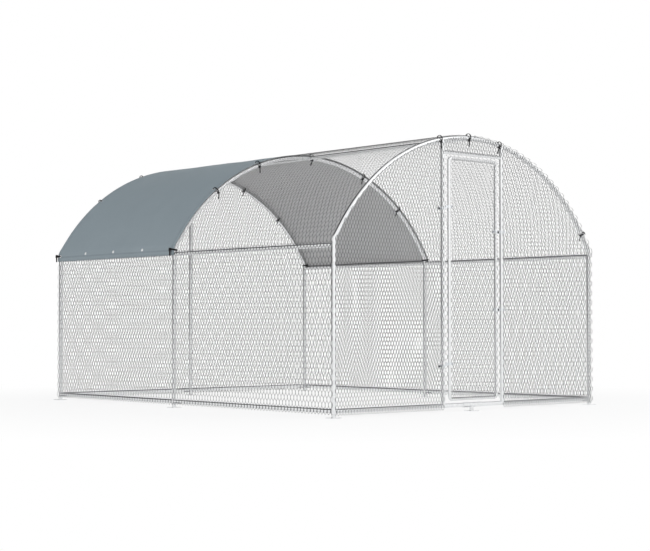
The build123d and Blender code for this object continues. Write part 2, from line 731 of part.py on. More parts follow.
def eyelet_frames():
    """Where the cover is pierced: beside both hoops for the ties, and along its two lower hems."""
    for place, side in cover_places:
        yield hoop_frame(place, hoop_y["mid"] + tie_reach("mid", place), cover_offset, side)
        yield hoop_frame(place, hoop_y["rear"] - tie_reach("rear", place), cover_offset, side)
    hem_place = bend_end - bend_radius * atan2(eave_height + hem_above_eave - bend_end_height, bend_radius)
    for step in range(1, hem_eyelets + 1):
        y = hoop_y["mid"] + rear_bay * step / (hem_eyelets + 1)
        for side in both:
            yield hoop_frame(hem_place, y, cover_offset, side)


def eyelet():
    top = cover_thickness + eyelet_flange_thickness
    barrel = extrude(Circle(eyelet_barrel_d / 2), top)
    washer = extrude(Circle(eyelet_flange_d / 2), eyelet_flange_thickness)
    flange = Pos(0, 0, cover_thickness + slip) * washer
    return barrel + flange - extrude(Circle(eyelet_hole_d / 2), 2 * top)


cover = cover_sheet()
eyelets = []
for frame in eyelet_frames():
    cover -= frame * Cylinder(eyelet_barrel_d / 2 + slip, 6 * cover_thickness)
    eyelets.append(frame * eyelet())
save("cover", cover)
save("cover_eyelets", *eyelets)
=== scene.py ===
from math import atan, atan2, cos, pi, radians, sin, tan

import bmesh
import bpy
from mathutils import Matrix, Vector, noise


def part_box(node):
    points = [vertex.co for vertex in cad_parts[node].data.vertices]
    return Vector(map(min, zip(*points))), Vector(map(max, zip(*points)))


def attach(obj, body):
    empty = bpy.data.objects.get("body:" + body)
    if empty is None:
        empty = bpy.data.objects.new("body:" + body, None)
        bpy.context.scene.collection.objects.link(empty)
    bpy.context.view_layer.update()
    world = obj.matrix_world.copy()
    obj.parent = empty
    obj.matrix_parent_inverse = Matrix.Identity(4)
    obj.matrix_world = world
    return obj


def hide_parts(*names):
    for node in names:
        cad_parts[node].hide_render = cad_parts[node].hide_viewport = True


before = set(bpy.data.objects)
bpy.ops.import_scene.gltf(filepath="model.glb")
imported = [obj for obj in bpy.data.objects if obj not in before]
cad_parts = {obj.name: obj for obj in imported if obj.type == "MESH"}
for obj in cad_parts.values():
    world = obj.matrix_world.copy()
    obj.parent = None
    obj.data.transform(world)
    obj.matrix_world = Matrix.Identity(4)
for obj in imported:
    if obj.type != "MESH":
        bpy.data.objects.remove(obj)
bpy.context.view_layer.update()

# Frame tubes, rails, hoops and feet.
# Thin steel tube and pressed plates, dipped in zinc: a pale satin skin with a faint crystal
# pattern, duller streaks that run upright and slightly rougher patches.
streak_stretch = (14, 14, 3)
streak_scale = 3.0
grain_scale = 700.0


def shader_node(owner, kind, **settings):
    """A new node in a material, or in the light of the surroundings."""
    node = owner.node_tree.nodes.new(kind)
    for name, value in settings.items():
        setattr(node, name, value)
    return node


def new_finish(name):
    """A material with its surface shader and the coordinates of the part's own frame."""
    material = bpy.data.materials.new(name)
    material.use_nodes = True
    surface = material.node_tree.nodes["Principled BSDF"]
    place = shader_node(material, "ShaderNodeTexCoord").outputs["Object"]
    return material, surface, place


def stretched(material, place, scale):
    """Coordinates scaled differently along each axis."""
    mapping = shader_node(material, "ShaderNodeMapping")
    mapping.inputs["Scale"].default_value = scale
    material.node_tree.links.new(place, mapping.inputs["Vector"])
    return mapping.outputs["Vector"]


def noise_of(material, place, scale, detail=3.0, rough=0.55):
    """A cloudy pattern; the scale is in waves to the metre."""
    pattern = shader_node(material, "ShaderNodeTexNoise")
    pattern.inputs["Scale"].default_value = scale
    pattern.inputs["Detail"].default_value = detail
    pattern.inputs["Roughness"].default_value = rough
    material.node_tree.links.new(place, pattern.inputs["Vector"])
    return pattern.outputs["Fac"]


def spread(owner, value, low, high, start=0.0, end=1.0, curve="LINEAR"):
    """A pattern that goes from start to end, moved to go from low to high."""
    ranged = shader_node(owner, "ShaderNodeMapRange", interpolation_type=curve)
    ranged.inputs["From Min"].default_value = start
    ranged.inputs["From Max"].default_value = end
    ranged.inputs["To Min"].default_value = low
    ranged.inputs["To Max"].default_value = high
    owner.node_tree.links.new(value, ranged.inputs["Value"])
    return ranged.outputs["Result"]


def between(material, value, *stops):
    """A colour ramp: each stop is its place and its red, green and blue."""
    ramp = shader_node(material, "ShaderNodeValToRGB")
    while len(ramp.color_ramp.elements) < len(stops):
        ramp.color_ramp.elements.new(0.5)
    for element, (at, colour) in zip(ramp.color_ramp.elements, stops):
        element.position = at
        element.color = (*colour, 1.0)
    material.node_tree.links.new(value, ramp.inputs["Fac"])
    return ramp.outputs["Color"]


def combined(owner, first, second, how="ADD"):
    """Two patterns, or a pattern and a number, put together by one sum."""
    sum_node = shader_node(owner, "ShaderNodeMath", operation=how)
    for value, socket in ((first, 0), (second, 1)):
        if isinstance(value, (int, float)):
            sum_node.inputs[socket].default_value = value
        else:
            owner.node_tree.links.new(value, sum_node.inputs[socket])
    return sum_node.outputs["Value"]


def raised(material, surface, height, distance, strength):
    """Relief on a surface from a pattern of heights."""
    bump = shader_node(material, "ShaderNodeBump")
    bump.inputs["Distance"].default_value = distance
    bump.inputs["Strength"].default_value = strength
    material.node_tree.links.new(height, bump.inputs["Height"])
    material.node_tree.links.new(bump.outputs["Normal"], surface.inputs["Normal"])


def zinc_coat(name, dark, pale, crystal, metallic, smooth, rough):
    """Zinc in crystals of a given size in metres, each of its own grey, under dull streaks."""
    material, surface, place = new_finish(name)
    link = material.node_tree.links.new
    crystals = shader_node(material, "ShaderNodeTexVoronoi", feature="F1")
    crystals.inputs["Scale"].default_value = 1 / crystal
    link(place, crystals.inputs["Vector"])
    flake = shader_node(material, "ShaderNodeSeparateColor")
    link(crystals.outputs["Color"], flake.inputs["Color"])
    streaks = noise_of(material, stretched(material, place, streak_stretch), streak_scale, detail=4.0)
    flake_grey = spread(material, flake.outputs["Red"], 0.0, 0.55)
    grey = combined(material, flake_grey, spread(material, streaks, 0.0, 0.45))
    link(between(material, grey, (0.15, dark), (0.85, pale)), surface.inputs["Base Color"])
    grain = noise_of(material, place, grain_scale, detail=2.0)
    dullness = combined(material, grain, flake.outputs["Green"])
    link(spread(material, dullness, smooth, rough, 0.4, 1.6), surface.inputs["Roughness"])
    relief = combined(material, grain, spread(material, flake.outputs["Blue"], 0.0, 0.6))
    raised(material, surface, relief, distance=0.0003, strength=0.14)
    surface.inputs["Metallic"].default_value = metallic
    return material


def finish_nodes(material, *names):
    """Gives ready-made pieces one material all over."""
    for name in names:
        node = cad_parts[name]
        node.data.materials.clear()
        node.data.materials.append(material)
        for face in node.data.polygons:
            face.material_index = 0


tube_zinc = zinc_coat("tube_zinc", dark=(0.74, 0.75, 0.76), pale=(0.89, 0.895, 0.90),
                      crystal=0.006, metallic=0.92, smooth=0.10, rough=0.20)
tube_endings = ("_post", "_roof_arc", "_rail", "_ridge_tube", "_foot")
plain_tubes = [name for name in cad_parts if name.endswith(tube_endings)]
finish_nodes(tube_zinc, *plain_tubes, "side_feet", "door_header", "hinge_stile", "latch_stile", "door_elbows")

# Ridge connectors.
# Short curved sleeves of slightly heavier tube over the ends of the roof arcs. They are dipped in
# another batch of zinc than the tubes, so they read a shade duller.
sleeve_zinc = zinc_coat("sleeve_zinc", dark=(0.72, 0.73, 0.74), pale=(0.88, 0.89, 0.90),
                        crystal=0.005, metallic=0.8, smooth=0.14, rough=0.26)
finish_nodes(sleeve_zinc, *[f"{hoop}_ridge_connector" for hoop in ("front", "mid", "rear")])

# Hinge and latch bands, pins, rings and hooks, with the bolts on the door.
# Strip and wire, bent, welded and then bright zinc plated, so the skin is smoother and a little
# bluer than the dipped tube, with a fine grain and no crystals to see.
fitting_zinc = zinc_coat("fitting_zinc", dark=(0.74, 0.76, 0.78), pale=(0.90, 0.92, 0.94),
                         crystal=0.0015, metallic=0.8, smooth=0.12, rough=0.24)
finish_nodes(fitting_zinc, "hinge_post_straps", "hinge_door_straps", "latch_post_straps", "latch_rings",
             "upper_latch_hook", "lower_latch_hook", "door_clamp_bolts")

# Clamp bolts on the door posts.
# Small black-oxide bolts with nuts that draw the bands together round the posts: nearly black and
# satin, with rubbed grey where a spanner has caught the corners.
oxide_black, oxide_rubbed = (0.008, 0.009, 0.010), (0.04, 0.04, 0.043)
black_oxide, surface, place = new_finish("black_oxide")
link = black_oxide.node_tree.links.new
worn = noise_of(black_oxide, place, scale=260.0, detail=4.0)
link(between(black_oxide, worn, (0.45, oxide_black), (0.75, oxide_rubbed)), surface.inputs["Base Color"])
link(spread(black_oxide, worn, low=0.35, high=0.6), surface.inputs["Roughness"])
grain = noise_of(black_oxide, place, scale=900.0)
raised(black_oxide, surface, grain, distance=0.0002, strength=0.4)
surface.inputs["Metallic"].default_value = 0.4
finish_nodes(black_oxide, "frame_clamp_bolts")

# Hexagonal netting.
# Zinc-coated wire, twisted in pairs and cut from rolls with shears, so that loose ends stand out
# along its edges. The wires are drawn broad and flat, which gives the netting its grey from afar.
twist_share = 0.62         # of the height of a row
pair_breadth = 1.8         # of a twisted pair, in wires
pair_flatness = 0.55
wire_flatness = 0.4


def add_wire(mesh, start, end, sides, radius, flat=1.0, turn=0.0, steps=1):
    """A closed length of wire; a flat one that turns along its length stands for a twisted pair."""
    along = Vector(end) - Vector(start)
    heading = along.to_track_quat("Z", "Y").to_matrix().to_4x4()
    place = Matrix.Translation(start) @ heading @ Matrix.Diagonal((1, flat, 1, 1))
    bmesh.ops.create_circle(mesh, cap_ends=True, segments=sides, radius=radius, matrix=place)
    mesh.faces.ensure_lookup_table()
    end_face = mesh.faces[-1]
    keep = True
    for step in range(steps):
        made = bmesh.ops.extrude_face_region(mesh, geom=[end_face], use_keep_orig=keep)["geom"]
        keep = False
        end_face = next(item for item in made if isinstance(item, bmesh.types.BMFace))
        corners = list(end_face.verts)
        bmesh.ops.translate(mesh, verts=corners, vec=along / steps)
        middle = Vector(start) + along * (step + 1) / steps
        twist = Matrix.Rotation(turn / steps, 3, along)
        bmesh.ops.rotate(mesh, verts=corners, cent=middle, matrix=twist)


def netting_repeat(cell, row, wire):
    """Two rows of one cell's width, flat in x and y: two twists and the four wires that part from them."""
    mesh = bmesh.new()
    twist = twist_share * row
    for x, y in ((0, 0), (cell / 2, row)):
        add_wire(mesh, (x, y, 0), (x, y + twist, 0), 4, pair_breadth * wire, pair_flatness, pi, 2)
        for side in (-1, 1):
            add_wire(mesh, (x, y + twist - wire, 0), (x + side * cell / 2, y + row + wire, 0), 3, wire)
    bmesh.ops.scale(mesh, verts=mesh.verts[:], vec=(1, 1, wire_flatness))
    bmesh.ops.recalc_face_normals(mesh, faces=mesh.faces[:])
    return mesh


def wire_zinc(name, dark, pale):
    """Dull zinc on wire, in cloudy patches with fine specks."""
    material, surface, place = new_finish(name)
    link = material.node_tree.links.new
    patches = noise_of(material, place, scale=9.0)
    speckle = noise_of(material, place, scale=240.0, detail=2.0)
    tone = combined(material, spread(material, patches, 0.0, 0.6), spread(material, speckle, 0.0, 0.5))
    link(between(material, tone, (0.3, dark), (0.8, pale)), surface.inputs["Base Color"])
    link(spread(material, speckle, low=0.30, high=0.55), surface.inputs["Roughness"])
    raised(material, surface, speckle, distance=0.0002, strength=0.5)
    surface.inputs["Metallic"].default_value = 0.4
    return material


netting_zinc = wire_zinc("netting_zinc", dark=(0.026, 0.027, 0.028), pale=(0.060, 0.062, 0.064))


def cut_netting(name, roll, low, high, shape=None):
    """A flat piece of netting off a roll, between two corners and inside a shape where one is given."""
    cell, row = roll["cell"], roll["row"]
    start_row = int(low[1] // (2 * row))
    start_cell = int(low[0] // cell)
    repeats = (int((high[0] - low[0]) / cell) + 3, int((high[1] - low[1]) / (2 * row)) + 3)
    repeat = netting_repeat(**roll)
    bmesh.ops.translate(repeat, verts=repeat.verts[:], vec=(start_cell * cell, start_row * 2 * row, 0))
    pattern = bpy.data.meshes.new(name)
    repeat.to_mesh(pattern)
    repeat.free()
    length = bpy.data.objects.new(name, pattern)
    bpy.context.scene.collection.objects.link(length)
    for count, step in ((repeats[0], (cell, 0, 0)), (repeats[1], (0, 2 * row, 0))):
        array = length.modifiers.new("repeat", "ARRAY")
        array.count = count
        array.use_relative_offset = False
        array.use_constant_offset = True
        array.constant_offset_displace = step
    rolled = bpy.data.meshes.new_from_object(length.evaluated_get(bpy.context.evaluated_depsgraph_get()))
    bpy.data.objects.remove(length)
    sheet = bmesh.new()
    sheet.from_mesh(rolled)
    bpy.data.meshes.remove(rolled)

    def kept(x, y):
        inside = low[0] < x < high[0] and low[1] < y < high[1]
        return inside and (shape is None or shape(x, y))

    outside = [corner for corner in sheet.verts if not kept(corner.co.x, corner.co.y)]
    bmesh.ops.delete(sheet, geom=outside, context="VERTS")
    bare = [corner for corner in sheet.verts if not corner.link_faces]
    bmesh.ops.delete(sheet, geom=bare, context="VERTS")
    return sheet


def stand(sheet, origin, across, up):
    """Moves a flat sheet so that its x runs along across and its y along up."""
    across, up = Vector(across), Vector(up)
    turn = Matrix((across, up, across.cross(up))).transposed().to_4x4()
    bmesh.ops.transform(sheet, matrix=Matrix.Translation(origin) @ turn, verts=sheet.verts[:])


def middle_of(node):
    """The middle of a node's box."""
    low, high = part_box(node)
    return [(a + b) / 2 for a, b in zip(low, high)]


def hang(sheet, name, body, *nodes):
    """Makes a finished netting mesh a piece of the object, in the place of its plain stand-ins."""
    mesh = bpy.data.meshes.new(name)
    sheet.to_mesh(mesh)
    sheet.free()
    mesh.materials.append(netting_zinc)
    piece = bpy.data.objects.new(name, mesh)
    bpy.context.scene.collection.objects.link(piece)
    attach(piece, body)
    for node in nodes:
        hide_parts(node)


# Netting of the two side walls.
# One length from gable to gable on the outside of the posts, tied at the rails. It hangs a little
# below the ground rail; at the front the left one is cut off at the post and the right one left long.
wall_roll = {"cell": 0.0350, "row": 0.0384, "wire": 0.00170}
half = 1.380               # from the middle to the posts' centre line
half_length = 1.7475       # from the middle to the end hoops' centre line
skirt = 0.012
wall_top = 1.215
past_front = {"left": 0.011, "right": 0.036}
past_rear = 0.028
for side in ("left", "right"):
    low = (-half_length - past_front[side], skirt)
    high = (half_length + past_rear, wall_top)
    flat = cut_netting(f"{side}_wall_netting", wall_roll, low, high)
    stand(flat, (middle_of(f"{side}_wall_net")[0], 0, 0), (0, 1, 0), (0, 0, 1))
    hang(flat, f"{side}_wall_netting", "frame", f"{side}_wall_net")

# Netting of the gables.
# A finer mesh than the walls', cut along the line of the hoop: close to the tube's middle on the
# left, and a little over it on the right. Three pieces round the doorway, two at the rear.
gable_roll = {"cell": 0.0270, "row": 0.0292, "wire": 0.00160}
apex = 2.035
eave_corner = 1.235        # where the leg's line meets the post's
leg = 0.140                # from that corner up to the roof arc
bend = 0.100
rise = apex - eave_corner
arc = (half**2 + rise**2 - leg**2) / (2 * rise)
arc_turn = atan2(half, arc - rise) - atan(leg / arc)
bend_turn = pi / 2 - arc_turn
leg_straight = leg - bend * tan(bend_turn / 2)
arc_end = arc * arc_turn
leg_end = arc_end + leg_straight
bend_end = leg_end + bend * bend_turn
bend_foot = eave_corner - (leg - leg_straight)
fringe = {"left": 0.003, "right": 0.012}


def under_hoop(x, z):
    """If a point of a gable lies inside the hoop's centre line, or not more than the fringe outside it."""
    over = fringe["right"] if x > 0 else fringe["left"]
    x = abs(x)
    if x * cos(arc_turn) < (z - apex + arc) * sin(arc_turn):
        return x * x + (z - apex + arc) ** 2 < (arc + over) ** 2
    return x < half + over and x * sin(arc_turn) + (z - apex + arc) * cos(arc_turn) < arc + over


def gable_netting(part, left, right, bottom, node):
    """One piece of a gable's netting, from its left to its right edge and from its foot to the hoop."""
    low, high = (left, bottom), (right, apex + fringe["right"])
    flat = cut_netting(f"{part}_netting", gable_roll, low, high, under_hoop)
    stand(flat, (0, middle_of(node)[1], 0), (1, 0, 0), (0, 0, 1))
    hang(flat, f"{part}_netting", "frame", node)


hinge_post, latch_post = -0.303, 0.339
header = 1.913
past_door_post = 0.006     # how far the pieces beside the door reach past its posts' middles
in_doorway = 0.004         # how far the piece over the door keeps clear of these middles
below_header = 0.012
right_edge = half + fringe["right"]
half_gap = 0.0005          # half the gap between the two pieces at the rear
gable_netting("front_left", -half, hinge_post + past_door_post, skirt, "front_left_net")
gable_netting("front_right", latch_post - past_door_post, right_edge, skirt, "front_right_net")
gable_netting("over_door", hinge_post + in_doorway, latch_post - in_doorway, header - below_header,
              "over_door_net")
gable_netting("rear_left", -half, -half_gap, skirt, "rear_gable_net")
gable_netting("rear_right", half_gap, right_edge, skirt, "rear_gable_net")

# Netting of the door.
# A small piece of the finest mesh, tied to the front of the door frame and cut just short of the
# stiles' middles.
door_roll = {"cell": 0.0218, "row": 0.0214, "wire": 0.00120}
past_side, past_end = 0.012, 0.008
node_low, node_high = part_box("door_net")
low = (node_low.x - past_side, node_low.z - past_end)
high = (node_high.x + past_side, node_high.z + past_end)
flat = cut_netting("door_netting", door_roll, low, high)
stand(flat, (0, middle_of("door_net")[1], 0), (1, 0, 0), (0, 0, 1))
hang(flat, "door_netting", "door", "door_net")


# Netting of the roof.
# The widest mesh, laid over the front bay from eave to eave in two lengths that meet at the ridge.
# Its front edge follows the walls', and its rear edge lies under the cover.
def on_hoop(place, out):
    """Across and up for a length along the hoop from the ridge and a distance out from its tube's centre."""
    if place <= arc_end:
        turn = place / arc
        x, z = arc * sin(turn), apex - arc + arc * cos(turn)
    elif place <= leg_end:
        turn = arc_turn
        x = arc * sin(turn) + (place - arc_end) * cos(turn)
        z = apex - arc + arc * cos(turn) - (place - arc_end) * sin(turn)
    elif place <= bend_end:
        turn = arc_turn + (place - leg_end) / bend
        x, z = half - bend + bend * sin(turn), bend_foot + bend * cos(turn)
    else:
        turn = pi / 2
        x, z = half, bend_foot - (place - bend_end)
    return x + out * sin(turn), z + out * cos(turn)


roof_roll = {"cell": 0.0377, "row": 0.0395, "wire": 0.00145}
roof_out = 0.0192
mid_hoop = 0.1025
off_ridge, past_mid_hoop, past_bend = 0.002, 0.016, 0.012
for side, way in (("left", -1), ("right", 1)):
    low = (-half_length - past_front[side], off_ridge)
    high = (mid_hoop + past_mid_hoop, bend_end + past_bend)
    flat = cut_netting(f"{side}_roof_netting", roof_roll, low, high)
    for corner in flat.verts:
        across, up = on_hoop(corner.co.y, roof_out + corner.co.z)
        corner.co = (way * across, corner.co.x, up)
    bmesh.ops.recalc_face_normals(flat, faces=flat.faces[:])
    hang(flat, f"{side}_roof_netting", "frame", "roof_nets")

# Weather cover.
# One sheet of coated woven cloth over the rear bay, slate on the outside and pale grey inside. It
# is drawn tight between the hoops by ties through eyelets, and its edges are turned in and sewn.
cover_out = 0.0216
cover_front, cover_rear = 0.0825, 1.7615
cover_low = 1.180
cover_girth = bend_end + bend_foot - cover_low     # from the ridge to the low edge
cover_run = cover_rear - cover_front
cloth_thickness = 0.0008
hem_lines = (0.0, 0.019, 0.038, 0.040)             # from the edge; the hem's step is between the last two
step_start, step_end = hem_lines[-2:]
hem_rise = 0.0007
seam_in = 0.033
# The fold line at the hem's step is darkened as painted shade; its two half widths are where it fades and
# ends.
fold_shade_width = (0.001, 0.004)
stitch_width = (0.0007, 0.0012)
stitch_length = 0.007
stitch_gap = (0.0012, 0.0018)
# The grey that darkens the stitches' thread and, as painted shade, the hem's fold line.
stitch_and_fold_shade = (0.55, 0.55, 0.56)
sag = 0.0015
broad_ripple, fine_ripple = 0.0030, 0.0009
held_edge = 0.12           # the ripples die out over this length above the low edge
weave = 260
girth_cells, run_cells = 180, 84
punch_radius = 0.0061


def with_hem(share, cells, length):
    """A grid line's distance from one edge: the lines crowd where the hem ends, so that its step is sharp."""
    line = round(share * cells)
    last = len(hem_lines) - 1
    if line <= last:
        return hem_lines[line]
    if line >= cells - last:
        return length - hem_lines[cells - line]
    return hem_lines[last] + (line - last) / (cells - 2 * last) * (length - 2 * hem_lines[last])


def ripple(place, y):
    """How far the cloth stands off its even line: broad waves with finer ones on them."""
    broad = noise.noise(Vector((place * 3.1, y * 4.0, 2.0))) * broad_ripple
    fine = noise.noise(Vector((place * 11, y * 9, 5))) * fine_ripple
    return broad + fine


cloth = bmesh.new()
bmesh.ops.create_grid(cloth, x_segments=girth_cells, y_segments=run_cells, size=1.0)
for corner in cloth.verts:
    place = with_hem((corner.co.x + 1) / 2, girth_cells, 2 * cover_girth) - cover_girth
    run = with_hem((corner.co.y + 1) / 2, run_cells, cover_run)
    along = run / cover_run
    y = cover_front + run
    slack = 4 * along * (1 - along)
    edge = min(run, cover_run - run, cover_girth - abs(place))
    loose = min(1.0, (cover_girth - abs(place)) / held_edge)
    folded = hem_rise if edge < (step_start + step_end) / 2 else 0.0
    across, up = on_hoop(abs(place), cover_out + folded + (ripple(place, y) - sag) * slack * loose)
    corner.co = (across if place > 0 else -across, y, up)
bmesh.ops.recalc_face_normals(cloth, faces=cloth.faces[:])
topmost = max(cloth.faces, key=lambda face: face.calc_center_median().z)
if topmost.normal.z < 0:
    bmesh.ops.reverse_faces(cloth, faces=cloth.faces[:])
for face in cloth.faces:
    face.smooth = True
cover_mesh = bpy.data.meshes.new("cover_cloth")
cloth.to_mesh(cover_mesh)
cloth.free()


def hem_line(material, from_edge, at, width):
    """A line along the hem at a distance from the edge; its two half widths are where it fades and ends."""
    off_line = combined(material, combined(material, from_edge, at, "SUBTRACT"), 0.0, "ABSOLUTE")
    return spread(material, off_line, 1.0, 0.0, *width)


def shaded(material, colour, amount, shade):
    """A colour multiplied by a shade, as far as a pattern says."""
    mix = shader_node(material, "ShaderNodeMix", data_type="RGBA", blend_type="MULTIPLY")
    mix.inputs["B"].default_value = (*shade, 1.0)
    material.node_tree.links.new(amount, mix.inputs["Factor"])
    material.node_tree.links.new(colour, mix.inputs["A"])
    return mix.outputs["Result"]


def coated_cloth(name, dark, pale, rough, hem_band_painted_shade):
    """Woven tape cloth with a coat: crossed tapes, cloudy dye, a soft sheen, a stitched hem, and painted
    shade on the hem's fold line and low hems.
    """
    material, surface, place = new_finish(name)
    link = material.node_tree.links.new
    cloud = noise_of(material, place, scale=4.0, detail=5.0, rough=0.6)
    fleck = noise_of(material, place, scale=130.0, detail=2.0)
    tapes = []
    for scale in ((0, weave, 0), (weave * 0.7, 0, weave * 0.7)):
        wave = shader_node(material, "ShaderNodeTexWave", wave_type="BANDS", bands_direction="DIAGONAL")
        wave.inputs["Scale"].default_value = 1.0
        wave.inputs["Distortion"].default_value = 0.6
        link(stretched(material, place, scale), wave.inputs["Vector"])
        tapes.append(wave.outputs["Fac"])
    crossed = combined(material, tapes[0], tapes[1], "MULTIPLY")
    thread = spread(material, combined(material, fleck, crossed), 0.0, 0.4, 0.2, 1.6)
    tone = combined(material, spread(material, cloud, 0.0, 0.6), thread)
    dye = between(material, tone, (0.2, dark), (0.8, pale))

    at = shader_node(material, "ShaderNodeSeparateXYZ")
    link(place, at.inputs["Vector"])
    from_front = combined(material, at.outputs["Y"], cover_front, "SUBTRACT")
    from_rear = combined(material, cover_rear, at.outputs["Y"], "SUBTRACT")
    from_low = combined(material, at.outputs["Z"], cover_low, "SUBTRACT")
    from_end = combined(material, from_front, from_rear, "MINIMUM")
    from_edge = combined(material, from_end, from_low, "MINIMUM")
    # A dark line of painted shade along the hem's step, where the turned-in edge ends under the cloth.
    fold_painted_shade = hem_line(material, from_edge, step_end, fold_shade_width)
    seam = hem_line(material, from_edge, seam_in, stitch_width)
    sideways = combined(material, at.outputs["X"], 0.0, "ABSOLUTE")
    downwards = combined(material, sideways, at.outputs["Z"], "SUBTRACT")
    running = combined(material, downwards, at.outputs["Y"])
    dashes = spread(material, combined(material, running, stitch_length, "PINGPONG"), 0.0, 1.0, *stitch_gap)
    stitch = combined(material, seam, dashes, "MULTIPLY")

    # The stitches' darker thread and the fold line's painted shade darken the dye together.
    lines = combined(material, spread(material, fold_painted_shade, 0.0, 0.4), stitch, "MAXIMUM")
    stitched_and_fold_shaded = shaded(material, dye, lines, stitch_and_fold_shade)
    # A band of painted shade along the low hems, from the low edge up to the hem's step.
    painted_low_hem_band = spread(material, from_low, 1.0, 0.0, step_start, step_end)
    link(shaded(material, stitched_and_fold_shaded, painted_low_hem_band, (hem_band_painted_shade, hem_band_painted_shade, hem_band_painted_shade)), surface.inputs["Base Color"])
    link(spread(material, fleck, rough - 0.08, rough + 0.1), surface.inputs["Roughness"])
    raised(material, surface, combined(material, crossed, stitch), distance=0.0006, strength=0.5)
    return material


# The low hems' painted shade is faint on the outside and strong on the inside.
cover_outside = coated_cloth("cover_outside", dark=(0.264, 0.318, 0.345), pale=(0.297, 0.352, 0.381),
                             rough=0.6, hem_band_painted_shade=0.97)
cover_inside = coated_cloth("cover_inside", dark=(0.685, 0.680, 0.675), pale=(0.745, 0.740, 0.735),
                            rough=0.6, hem_band_painted_shade=0.45)
cover_mesh.materials.append(cover_outside)
cover_mesh.materials.append(cover_inside)
cover = bpy.data.objects.new("cover_cloth", cover_mesh)
bpy.context.scene.collection.objects.link(cover)
thickness = cover.modifiers.new("thickness", "SOLIDIFY")
thickness.thickness = cloth_thickness
thickness.offset = 0.0
thickness.material_offset = 1


def ring_middles(node):
    """The middle of each separate ring in a node."""
    rings = bmesh.new()
    rings.from_mesh(node.data)
    bmesh.ops.remove_doubles(rings, verts=rings.verts[:], dist=0.00001)
    middles = []
    while rings.verts:
        ring = [next(iter(rings.verts))]
        for corner in ring:
            neighbours = [edge.other_vert(corner) for edge in corner.link_edges]
            ring += [other for other in neighbours if other not in ring]
        middles.append(sum((corner.co for corner in ring), Vector()) / len(ring))
        bmesh.ops.delete(rings, geom=ring, context="VERTS")
    rings.free()
    return middles


punch = bmesh.new()
for middle in ring_middles(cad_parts["cover_eyelets"]):
    bmesh.ops.create_icosphere(punch, subdivisions=3, radius=punch_radius, matrix=Matrix.Translation(middle))
punch_mesh = bpy.data.meshes.new("punch")
punch.to_mesh(punch_mesh)
punch.free()
punches = bpy.data.objects.new("punch", punch_mesh)
bpy.context.scene.collection.objects.link(punches)
holes = cover.modifiers.new("holes", "BOOLEAN")
holes.object = punches
holes.solver = "EXACT"
cover.data = bpy.data.meshes.new_from_object(cover.evaluated_get(bpy.context.evaluated_depsgraph_get()))
cover.modifiers.clear()
bpy.data.objects.remove(punches)
bpy.data.meshes.remove(punch_mesh)
bpy.data.meshes.remove(cover_mesh)
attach(cover, "frame")
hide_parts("cover")

# Eyelets of the cover.
# Pressed brass rings, nickelled, closed over the edge of each punched hole so that the ties don't
# tear the cloth. They are pale and bright, with a fine grain.
eyelet_nickel = zinc_coat("eyelet_nickel", dark=(0.86, 0.87, 0.88), pale=(0.97, 0.97, 0.97),
                          crystal=0.002, metallic=0.2, smooth=0.16, rough=0.30)
finish_nodes(eyelet_nickel, "cover_eyelets")

# Cable ties.
# Black nylon straps with a moulded head, pulled up round the hoop with their tails left on. They
# are a little fuller than their stand-ins, and those at the cover's low corners have heavy heads.
nylon_black, nylon_scuffed = (0.004, 0.004, 0.005), (0.018, 0.018, 0.019)
tie_growth, corner_growth, head_growth = 0.0010, 0.0022, 0.0045
corner_reach, corner_top = 1.33, 1.25      # a corner tie lies further out and lower than these
head_reach, head_foot = 1.4065, 1.2185     # its head lies further out and higher than these
head_start, head_end = 0.005, 0.022        # and between these, behind the hoop's centre line
nylon, surface, place = new_finish("black_nylon")
link = nylon.node_tree.links.new
scuff = noise_of(nylon, place, scale=180.0)
link(between(nylon, scuff, (0.35, nylon_black), (0.8, nylon_scuffed)), surface.inputs["Base Color"])
link(spread(nylon, scuff, low=0.32, high=0.5), surface.inputs["Roughness"])
surface.inputs["Specular IOR Level"].default_value = 0.2
grain = noise_of(nylon, place, scale=1200.0, detail=1.0)
raised(nylon, surface, grain, distance=0.0002, strength=0.4)
straps = bmesh.new()
straps.from_mesh(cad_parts["cable_ties"].data)
bmesh.ops.remove_doubles(straps, verts=straps.verts[:], dist=0.00001)
straps.normal_update()
for face in straps.faces:
    face.material_index = 0
for point in straps.verts:
    growth = tie_growth
    reach = abs(point.co.x)
    if reach > corner_reach and point.co.z < corner_top:
        growth += corner_growth
        beside_hoop = any(head_start < point.co.y - hoop < head_end for hoop in (mid_hoop, half_length))
        if beside_hoop and reach > head_reach and point.co.z > head_foot:
            growth += head_growth
    point.co += point.normal * growth
tie_mesh = bpy.data.meshes.new("tie_straps")
straps.to_mesh(tie_mesh)
straps.free()
tie_mesh.materials.append(nylon)
tie_straps = bpy.data.objects.new("tie_straps", tie_mesh)
bpy.context.scene.collection.objects.link(tie_straps)
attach(tie_straps, "frame")
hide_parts("cable_ties")

# Studio floor.
# A wide sheet of pale paper under the run. It keeps a faint shadow near the run and goes over to
# plain white further out, to the eye and in what the metal mirrors.
floor_half = 60.0
paper_dark, paper_pale = (0.86, 0.86, 0.86), (0.88, 0.88, 0.88)
fade_start, fade_end = 2.0, 4.5
white_near = 0.85
floor = bmesh.new()
bmesh.ops.create_grid(floor, x_segments=1, y_segments=1, size=floor_half)
floor_mesh = bpy.data.meshes.new("studio_floor")
floor.to_mesh(floor_mesh)
floor.free()
studio_floor = bpy.data.objects.new("studio_floor", floor_mesh)
bpy.context.scene.collection.objects.link(studio_floor)
paper, surface, place = new_finish("studio_paper")
link = paper.node_tree.links.new
tone = noise_of(paper, place, scale=0.3)
link(between(paper, tone, (0.3, paper_dark), (0.7, paper_pale)), surface.inputs["Base Color"])
surface.inputs["Roughness"].default_value = 0.9
surface.inputs["Specular IOR Level"].default_value = 0.1
